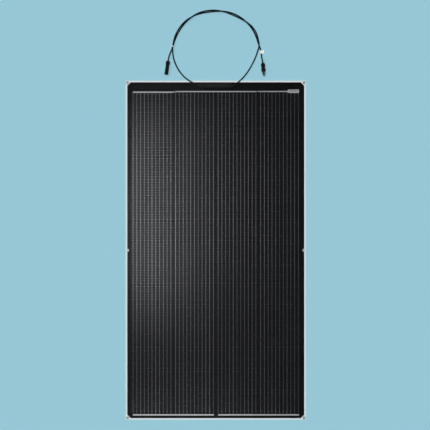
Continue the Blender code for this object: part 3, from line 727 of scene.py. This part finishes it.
def smooth_curve(points, step):
    """Points about one step apart, on a Catmull-Rom curve through these, and none below the ground."""
    padded = [2 * points[0] - points[1], *points, 2 * points[-1] - points[-2]]
    curve = []
    for a, b, c, d in zip(padded, padded[1:], padded[2:], padded[3:]):
        parts = max(1, ceil((c - b).length / step))
        for i in range(parts):
            t = i / parts
            slope = c - a
            bend_part = 2 * a - 5 * b + 4 * c - d
            twist = 3 * b - 3 * c + d - a
            point = b + (slope * t + bend_part * t**2 + twist * t**3) / 2
            point.z = max(point.z, GROUND_Z)
            curve.append(point)
    return [*curve, points[-1]]


def make_cable(name, node, lead_in, lead_out, side):
    """One free cable, a round curve along its route."""
    points = smooth_curve(cable_route(lead_in, lead_out, side), CABLE_STEP)
    data = bpy.data.curves.new(name, "CURVE")
    data.dimensions = "3D"
    data.bevel_depth = CABLE_RADIUS
    data.bevel_resolution = 5
    data.use_fill_caps = True
    spline = data.splines.new("POLY")
    spline.points.add(len(points) - 1)
    for point, co in zip(spline.points, points):
        point.co = (*co, 1)
    spline.use_smooth = True
    piece = add_piece(name, data, "cable_jacket")
    stand_for(piece, "upper_section", node)


# ---------------------------------------------------------------- the laminate


def layer_half(name, stem, half):
    """One half of a layer, made of the layer's packed sections, closed up at their flex line."""
    above, below, flex_y = HALVES[half]
    bm = bmesh.new()
    for section in (above, below):
        bm.from_mesh(NODES[f"{stem}_{section}"].data)
    bmesh.ops.remove_doubles(bm, verts=bm.verts, dist=WELD)
    for vert in bm.verts:
        if abs(vert.co.y - flex_y) < FLEX_GAP:
            vert.co.y = flex_y
    joined = [
        face for face in bm.faces if all(abs(vert.co.y - flex_y) < WELD for vert in face.verts)
    ]
    bmesh.ops.delete(bm, geom=joined, context="FACES")
    bmesh.ops.remove_doubles(bm, verts=bm.verts, dist=WELD)
    cut_across(bm, SPLIT_Y, clear_inner=half == "top", clear_outer=half == "bottom")
    rim = [edge for edge in bm.edges if edge.is_boundary]
    bmesh.ops.holes_fill(bm, edges=rim, sides=0)
    bmesh.ops.dissolve_limit(
        bm, angle_limit=radians(1), verts=bm.verts, edges=bm.edges, use_dissolve_boundaries=False
    )
    cut_stations(bm, half)
    return keep_rest_place(finished_mesh(name, bm))


def make_layers():
    """Film, board, backing and rear sheet, each in two halves."""
    for stem, title, look in (
        ("back_sheet", "rear_sheet", "rear_sheet"),
        ("core_board", "board_sheet", "white_board"),
        ("black_backing", "backing_sheet", "black_backing"),
        ("front_film", "film_sheet", "clear_film"),
    ):
        for half in HALVES:
            name = f"{title}_{half}"
            bend(add_piece(name, layer_half(name, stem, half), look), half, stem)


def column_centres():
    first = STRING_LOW.x + CELL_WIDTH / 2
    return [first + column * COLUMN_PITCH for column in range(COLUMNS)]


def rows_of(half):
    return range(TOP_ROWS) if half == "top" else range(TOP_ROWS, ROWS)


def row_top(row):
    return CELLS_TOP - row * ROW_PITCH


def wire_places():
    """X of every wire, in order."""
    offset = (WIRES_PER_CELL - 1) / 2
    for centre in column_centres():
        for wire in range(WIRES_PER_CELL):
            yield centre + (wire - offset) * WIRE_PITCH


def add_prism(bm, outline, low, high):
    """One closed prism on an outline in XY."""
    base = [bm.verts.new((x, y, low)) for x, y in outline]
    top = [bm.verts.new((x, y, high)) for x, y in outline]
    bm.faces.new(base[::-1])
    bm.faces.new(top)
    for i in range(len(outline)):
        after = (i + 1) % len(outline)
        bm.faces.new((base[i], base[after], top[after], top[i]))


def add_plate(bm, x, y, z):
    """One low block between two limits each way."""
    outline = [(x[0], y[0]), (x[1], y[0]), (x[1], y[1]), (x[0], y[1])]
    add_prism(bm, outline, *z)


def add_wire(bm, x, low_y, high_y):
    """One flattened wire along Y, with sloping sides."""
    section = (
        (-WIRE_FOOT / 2, 0.0),
        (WIRE_FOOT / 2, 0.0),
        (WIRE_CROWN / 2, WIRE_HEIGHT),
        (-WIRE_CROWN / 2, WIRE_HEIGHT),
    )
    ends = [
        [bm.verts.new((x + across, y, CELL_TOP_Z + up)) for across, up in section]
        for y in (low_y, high_y)
    ]
    bm.faces.new(ends[0])
    bm.faces.new(ends[1][::-1])
    for i in range(4):
        after = (i + 1) % 4
        bm.faces.new((ends[0][i], ends[1][i], ends[1][after], ends[0][after]))


def cell_outline(centre, top):
    """A half-cut cell, with the round wafer's corners cut off its upper edge."""
    half = CELL_WIDTH / 2
    low = top - CELL_HEIGHT
    right = [(half, low), (half, top - CELL_CORNER), (half - CELL_CORNER, top)]
    left = [(-x, y) for x, y in reversed(right)]
    return [(centre + x, y) for x, y in right + left]


def make_cells(half):
    """All half cells of one half of the sheet."""
    bm = bmesh.new()
    for centre in column_centres():
        for row in rows_of(half):
            add_prism(bm, cell_outline(centre, row_top(row)), CELL_LOW, CELL_TOP_Z)
    cut_stations(bm, half)
    name = f"cells_{half}"
    mesh = keep_rest_place(finished_mesh(name, bm))
    stems = [f"cell_string_{column + 1}" for column in range(COLUMNS)]
    bend(add_piece(name, mesh, "solar_cell"), half, *stems)


def make_finger_lines(half):
    """The wider printed lines across each half cell."""
    bm = bmesh.new()
    reach = CELL_WIDTH / 2 - FINGER_LINE_INSET
    pitch = CELL_HEIGHT / FINGER_LINES
    z = (CELL_TOP_Z, CELL_TOP_Z + FINGER_LINE_HEIGHT)
    for centre in column_centres():
        for row in rows_of(half):
            for line in range(FINGER_LINES):
                y = row_top(row) - (line + 0.5) * pitch
                side = (y - FINGER_LINE_WIDTH / 2, y + FINGER_LINE_WIDTH / 2)
                start = centre - reach
                end = centre + reach
                if line == 0:
                    start += CELL_CORNER / 2
                    end -= CELL_CORNER / 2
                add_plate(bm, (start, end), side, z)
    name = f"finger_lines_{half}"
    bend(add_piece(name, keep_rest_place(finished_mesh(name, bm)), "finger_line"), half)


def upper_end(x):
    """Y of a wire's upper end: the middle of the upper ribbon over it, or the cells' edge."""
    for name in UPPER_RIBBONS:
        low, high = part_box(name)
        if low.x <= x <= high.x:
            return (low.y + high.y) / 2
    return CELLS_TOP


def make_wires(half):
    """The wires that run from ribbon to ribbon over every cell in their way."""
    bm = bmesh.new()
    low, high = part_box(LOWER_RIBBONS[0])
    lower_end = (low.y + high.y) / 2
    for x in wire_places():
        if half == "top":
            add_wire(bm, x, SPLIT_Y, upper_end(x))
        else:
            add_wire(bm, x, lower_end, SPLIT_Y)
    cut_stations(bm, half)
    name = f"cell_wires_{half}"
    bend(add_piece(name, keep_rest_place(finished_mesh(name, bm)), "cell_wire"), half)


def make_pads(half):
    """Solder pads under the wires, larger next to each gap between rows."""
    bm = bmesh.new()
    pitch = (CELL_HEIGHT - 2 * PAD_MARGIN) / (PADS_PER_WIRE - 1)
    z = (CELL_TOP_Z, CELL_TOP_Z + PAD_HEIGHT)
    for x in wire_places():
        for row in rows_of(half):
            for pad in range(PADS_PER_WIRE):
                at_end = pad in (0, PADS_PER_WIRE - 1)
                width, length = END_PAD_SIZE if at_end else PAD_SIZE
                y = row_top(row) - PAD_MARGIN - pad * pitch
                add_plate(bm, (x - width / 2, x + width / 2), (y - length / 2, y + length / 2), z)
    name = f"solder_pads_{half}"
    bend(add_piece(name, keep_rest_place(finished_mesh(name, bm)), "solder_pad"), half)


def eyelet_profile(flange, low, high):
    """A rolled eyelet's section: round its rear flange, along the barrel and round its front flange."""
    front = FILM_TOP + 0.05 * MM
    rear_roll = (EYELET_HOLE + EYELET_REAR_ROLL, low + EYELET_REAR_ROLL)
    rim_roll = (flange - EYELET_RIM_ROLL, high - EYELET_RIM_ROLL)
    front_roll = (EYELET_HOLE + EYELET_FRONT_ROLL, high - EYELET_FRONT_ROLL)
    return [
        (EYELET_HOLE, low + EYELET_REAR_LIP),
        *arc_profile(rear_roll, EYELET_REAR_ROLL, 180, 270, 3),
        (flange, low),
        (flange, low + EYELET_REAR_LIP - 0.05 * MM),
        (EYELET_BARREL, low + EYELET_REAR_LIP),
        (EYELET_BARREL, front),
        (flange - 0.25 * MM, front),
        *arc_profile(rim_roll, EYELET_RIM_ROLL, 0, 90, 4),
        *arc_profile(front_roll, EYELET_FRONT_ROLL, 90, 180, 5),
    ]


def make_eyelets():
    """Eyelets with their lips on the front and the rear; those at the long sides' middles are paler, as
    a painted highlight.
    """
    for section in ("upper", "middle", "lower"):
        for side in ("left", "right"):
            node = f"eyelet_{section}_{side}"
            low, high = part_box(node)
            centre = (low + high) / 2
            profile = eyelet_profile((high.x - low.x) / 2, low.z, high.z)
            # The middle eyelets take the paler copy of the nickel, a painted highlight
            look = "painted_glint_eyelet" if section == "middle" else "nickel_eyelet"
            piece = add_piece(f"{node}_ring", turned_mesh(f"{node}_ring", profile), look)
            piece.location = (centre.x, centre.y, 0)
            stand_for(piece, f"{section}_section", node)


def make_label():
    """A blank rounded patch on the rating plate, clear of the plate's pointed left end."""
    low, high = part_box("rating_label")
    start = (low.x + 11 * MM, low.y + 4.9 * MM)
    end = (high.x - 4.5 * MM, high.y - 2.2 * MM)
    levels = (
        (0, high.z + 0.01 * MM),
        (0, high.z + 0.08 * MM),
        (0.08 * MM, high.z + 0.12 * MM),
    )
    add_loft("label_patch", "label_patch", start, end, 3 * MM, levels)


# ---------------------------------------------------------------- junction box


def make_box_lid():
    """The snap-on lid: a framed top with a shallow panel, over a lip that fits the base."""
    low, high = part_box("junction_box_lid")
    skirt = 12 * MM
    lip_inset = 2.4 * MM
    levels = (
        (lip_inset + 0.3 * MM, low.z),
        (lip_inset, low.z + 0.4 * MM),
        (lip_inset, skirt),
        (0.05 * MM, skirt),
        (0, skirt + 0.15 * MM),
        (0, high.z - 0.7 * MM),
        (0.25 * MM, high.z - 0.2 * MM),
        (0.7 * MM, high.z),
        (1.9 * MM, high.z),
        (2.2 * MM, high.z - 0.35 * MM),
    )
    rings = inset_rings(low.xy, high.xy, 1.6 * MM, levels)
    mesh = loft_mesh("box_lid_shell", rings, sharp_angle=50)
    piece = flat_faces(add_piece("box_lid_shell", mesh, "lid_plastic"))
    stand_for(piece, "box_lid", "junction_box_lid")


def make_box_clips():
    """Clips that hold the lid, along both long sides of the base."""
    low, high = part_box("junction_box_base")
    top = high.z - 0.2 * MM
    levels = (
        (0.3 * MM, top - 3.4 * MM),
        (0, top - 3 * MM),
        (0, top - 0.3 * MM),
        (0.3 * MM, top),
    )
    for step in range(CLIPS_PER_SIDE):
        x = low.x + CLIP_START + step * CLIP_PITCH
        for name, side, inward in (("front", low.y, 1), ("rear", high.y, -1)):
            near, far = sorted((side + inward * 0.35 * MM, side + inward * 2.2 * MM))
            clip_low = (x - CLIP_HALF_WIDTH, near)
            clip_high = (x + CLIP_HALF_WIDTH, far)
            title = f"box_clip_{name}_{step + 1}"
            add_loft(title, "box_plastic", clip_low, clip_high, 0.5 * MM, levels)


def make_box_ribs():
    """Ribs across the base's end block, beside the lid."""
    low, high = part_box("junction_box_base")
    lid_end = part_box("junction_box_lid")[1].x
    levels = (
        (0, high.z - 0.5 * MM),
        (0, high.z + 0.3 * MM),
        (0.35 * MM, high.z + 0.6 * MM),
    )
    for step in range(RIBS):
        x = lid_end + RIB_START + step * RIB_PITCH
        rib_low = (x, low.y + RIB_MARGIN)
        rib_high = (x + RIB_WIDTH, high.y - RIB_MARGIN)
        add_loft(f"box_rib_{step + 1}", "box_plastic", rib_low, rib_high, 0.7 * MM, levels)


def gland_profile():
    """A relief's section, from inside the box to its tip: a collar, then grooves along a taper."""
    profile = [(0, 0), (4.0, 0), (4.0, 1.9)]
    for groove in range(GLAND_GROOVES):
        start = 2.5 + groove * 2.6
        reach = 3.95 - groove * 0.2
        profile += [
            (reach - 0.55, start),
            (reach - 0.55, start + 0.7),
            (reach, start + 1.0),
            (reach - 0.1, start + 2.1),
        ]
    return from_mm(*profile) + [
        (3.45 * MM, GLAND_LENGTH - 0.4 * MM),
        (3.25 * MM, GLAND_LENGTH),
        (0, GLAND_LENGTH),
    ]


def make_glands():
    """Tapered rubber reliefs with flex grooves, from the box's ends to the cables."""
    glands = []
    for node, lead_in in (("gland_left", LEFT_CABLE_IN), ("gland_right", RIGHT_CABLE_IN)):
        tip = Vector(lead_in[0]) * MM
        along = (Vector(lead_in[1]) * MM - tip).normalized()
        along.z = 0
        low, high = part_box(node)
        end = Vector((tip.x, tip.y, (low.z + high.z) / 2))
        name = f"{node}_relief"
        piece = add_piece(name, turned_mesh(name, gland_profile()), "soft_rubber")
        piece.matrix_world = axis_matrix(end - along * GLAND_LENGTH, along)
        glands.append(stand_for(piece, "upper_section", node))
    return glands


# ---------------------------------------------------------------- connectors


def axis_matrix(at, along):
    """A place whose Z axis runs along a level direction, and whose Y axis is up."""
    up = Vector((0, 0, 1))
    side = up.cross(along).normalized()
    turn = Matrix((side, up, along.normalized())).transposed()
    return Matrix.Translation(at) @ turn.to_4x4()


def connector_place(joint):
    """A connector's frame, from the joint that its cable nut turns on."""
    return axis_matrix(Vector(JOINTS[joint]["pos_m"]), -Vector(JOINTS[joint]["axis"]))


def make_cable_nut(name, joint, body):
    """A ribbed nut with a tapered nose. A third number is how deep the grooves between its ribs are."""
    profile = from_mm(
        (3.25, 0.2), (3.6, 0), (5.2, 0), (5.7, 0.35), (7.5, 2.6),
        (8.1, 4.2, 0.2), (8.8, 6, 0.6), (9.2, 7.4, 0.6), (9.2, 15.2, 0.6), (8.9, 15.9, 0.3),
        (8.5, 16.3), (8.4, 16.9), (3.3, 16.9),
    )
    mesh = turned_mesh(f"{name}_nut", profile, steps=128, ribs=16)
    piece = add_piece(f"{name}_nut", mesh, "connector_plastic")
    piece.matrix_world = connector_place(joint)
    return stand_for(piece, body, f"{name}_cable_nut")


def make_pin_housing():
    """The shell, with a grip collar, two side windows and a lip round its open mouth."""
    profile = from_mm(
        (0, 17.3), (7.5, 17.3), (7.8, 17.6), (7.8, 21.5),
        (8.3, 22.2), (8.3, 24.2), (7.8, 24.9), (7.8, 33.6),
        (8.5, 34.6), (8.5, 38), (8.4, 39.6), (8.35, 40), (8.35, 55.8),
        (8.6, 56.4), (9.1, 56.9), (9.2, 57.3), (9.2, 59.5), (8.8, 59.95),
        (7.1, 59.95), (6.8, 59.6), (6.8, 30), (2.3, 30), (2.3, 19), (0, 19),
    )
    name = "pin_housing"
    place = connector_place("pin_nut_turn")
    piece = add_piece(name, turned_mesh(name, profile, steps=64), "connector_plastic")
    piece.matrix_world = place
    levels = ((0, 46 * MM), (0, 54 * MM))
    window = inset_rings((-12 * MM, -2.7 * MM), (12 * MM, 2.7 * MM), 0.3 * MM, levels)
    cut_out(piece, loft_mesh("window", window), place)
    piece.data.set_sharp_from_angle(angle=radians(TURNED_SHARP_ANGLE))
    return stand_for(piece, "upper_section", "pin_connector_housing")


def make_socket_housing():
    """The socket's body, its shoulder and the nozzle round its contact."""
    profile = from_mm(
        (0, 17.3), (7.5, 17.3), (7.8, 17.6), (7.8, 22.8),
        (9.1, 24.3), (9.3, 24.8), (9.3, 33.6), (9.1, 34.2), (8.4, 37.6), (8.1, 37.9),
        (3.9, 37.9), (3.4, 38.4), (3.3, 39), (3.3, 43), (3.1, 43.3), (3.1, 44.1), (3.3, 44.4),
        (3.3, 56.4), (3.1, 56.9), (2.6, 56.9), (2.6, 19), (0, 19),
    )
    name = "socket_housing"
    piece = add_piece(name, turned_mesh(name, profile, steps=64), "connector_plastic")
    piece.matrix_world = connector_place("socket_nut_turn")
    return stand_for(piece, "upper_section", "socket_connector_housing")


def make_latch_finger(node, body, side):
    """A latch finger with a sloping hook, on the nozzle's inner or outer side."""
    outline = from_mm(
        (4.9, 0), (6.5, 0), (6.5, 5.6), (7.5, 5.9), (7.65, 6.6), (6.6, 10.6), (6.1, 11), (4.9, 11),
    )
    rings = [
        [(side * across, level, FINGER_ROOT + ahead) for across, ahead in outline]
        for level in (-FINGER_HALF_WIDTH, FINGER_HALF_WIDTH)
    ]
    piece = add_piece(f"{node}_arm", loft_mesh(f"{node}_arm", rings), "connector_plastic")
    bevel(piece, 0.25 * MM)
    piece.matrix_world = connector_place("socket_nut_turn")
    return stand_for(piece, body, node)


def make_connectors():
    """Both connectors. Gives the pieces of each, with the frame's own pieces that still show."""
    pin = [make_cable_nut("pin_connector", "pin_nut_turn", "pin_nut"), make_pin_housing()]
    pin += [NODES["pin_contact"], NODES["pin_connector_cable_seal"]]
    socket = [make_cable_nut("socket_connector", "socket_nut_turn", "socket_nut"), make_socket_housing()]
    socket += [make_latch_finger("latch_finger_inner", "finger_inner", -1)]
    socket += [make_latch_finger("latch_finger_outer", "finger_outer", 1)]
    socket += [NODES["socket_contact"], NODES["socket_connector_cable_seal"]]
    return pin, socket


# ---------------------------------------------------------------- what stays of the frame

KEPT_NODES = {
    "tinned_ribbon": UPPER_RIBBONS + LOWER_RIBBONS,
    "label_grey": ("rating_label",),
    "box_plastic": ("junction_box_base", "bypass_diode_left", "bypass_diode_right"),
    "soft_rubber": (
        "junction_box_pad", "junction_box_seal", "pin_connector_cable_seal",
        "socket_connector_cable_seal",
    ),
    "terminal_brass": ("terminal_left", "terminal_right"),
    "contact_metal": ("pin_contact", "socket_contact"),
    "white_tie": ("cable_tie",),
    "white_paper": ("cable_tag",),
}


def finish_kept_nodes():
    """Give the frame's own pieces that still show their materials and slots."""
    for look, names in KEPT_NODES.items():
        for name in names:
            node = NODES[name]
            if not node.material_slots:
                node.data.materials.append(None)
            for material_slot in node.material_slots:
                material_slot.material = LOOKS[look].material


# ---------------------------------------------------------------- floor and light


def make_floor():
    """A wide pale-blue floor, just under the sheet."""
    mesh = bpy.data.meshes.new("floor")
    quarters = ((-1, -1), (1, -1), (1, 1), (-1, 1))
    corners = [(x * FLOOR_REACH, y * FLOOR_REACH, FLOOR_LEVEL) for x, y in quarters]
    mesh.from_pydata(corners, [], [(0, 1, 2, 3)])
    mesh.materials.append(Look("floor", FLOOR_COLOUR, 0.9, Specular_IOR_Level=0.0).material)
    floor = bpy.data.objects.new("floor", mesh)
    bpy.context.scene.collection.objects.link(floor)


def add_light(name, kind, at, towards, energy):
    data = bpy.data.lights.new(name, kind)
    data.energy = energy
    light = bpy.data.objects.new(name, data)
    bpy.context.scene.collection.objects.link(light)
    light.location = at
    light.rotation_euler = (Vector(towards) - Vector(at)).to_track_quat("-Z", "Y").to_euler()
    return light


def make_world():
    """A faint glow all round, with the floor's colour where the camera looks past its edge."""
    world = bpy.data.worlds.new("studio")
    bpy.context.scene.world = world
    world.use_nodes = True
    nodes = world.node_tree.nodes
    links = world.node_tree.links
    glow = nodes["Background"]
    glow.inputs["Color"].default_value = (0.9, 0.95, 1.0, 1.0)
    glow.inputs["Strength"].default_value = 0.02
    far_floor = nodes.new("ShaderNodeBackground")
    far_floor.inputs["Color"].default_value = (*FLOOR_SEEN, 1.0)
    path = nodes.new("ShaderNodeLightPath")
    choice = nodes.new("ShaderNodeMixShader")
    links.new(path.outputs["Is Camera Ray"], choice.inputs[0])
    links.new(glow.outputs[0], choice.inputs[1])
    links.new(far_floor.outputs[0], choice.inputs[2])
    links.new(choice.outputs[0], nodes["World Output"].inputs[0])


def make_lights():
    """An even sky, most of which casts no shadow, and two soft boxes that only show as sheen.

    One soft box hangs over the sheet's left edge, and the other beyond its lower edge.
    """
    for name, energy, shadows in SKY_PARTS:
        sky = add_light(name, "SUN", SKY_FROM, (0, 0, 0), energy)
        sky.data.angle = radians(SKY_ANGLE)
        sky.data.use_shadow = shadows
        sky.visible_glossy = False
    for name, at, towards, energy, width in SOFT_BOXES:
        box = add_light(name, "AREA", at, towards, energy)
        box.data.color = SOFT_BOX_COLOUR
        box.data.shape = "RECTANGLE"
        box.data.size = SOFT_BOX_LENGTH
        box.data.size_y = width
        box.visible_diffuse = False


bpy.context.scene.view_settings.view_transform = "Standard"
make_camera()
left_gland, right_gland = make_glands()
pin_pieces, socket_pieces = make_connectors()
finish_kept_nodes()
make_cable(
    "left_cable", "cable_left", LEFT_CABLE_IN, LEFT_CABLE_OUT, 1,
)
make_cable(
    "right_cable", "cable_right", RIGHT_CABLE_IN, RIGHT_CABLE_OUT, -1,
)
make_layers()
for sheet_half in HALVES:
    make_cells(sheet_half)
    make_finger_lines(sheet_half)
    make_wires(sheet_half)
    make_pads(sheet_half)
make_eyelets()
make_label()
make_box_lid()
make_box_clips()
make_box_ribs()
make_floor()
make_world()
make_lights()
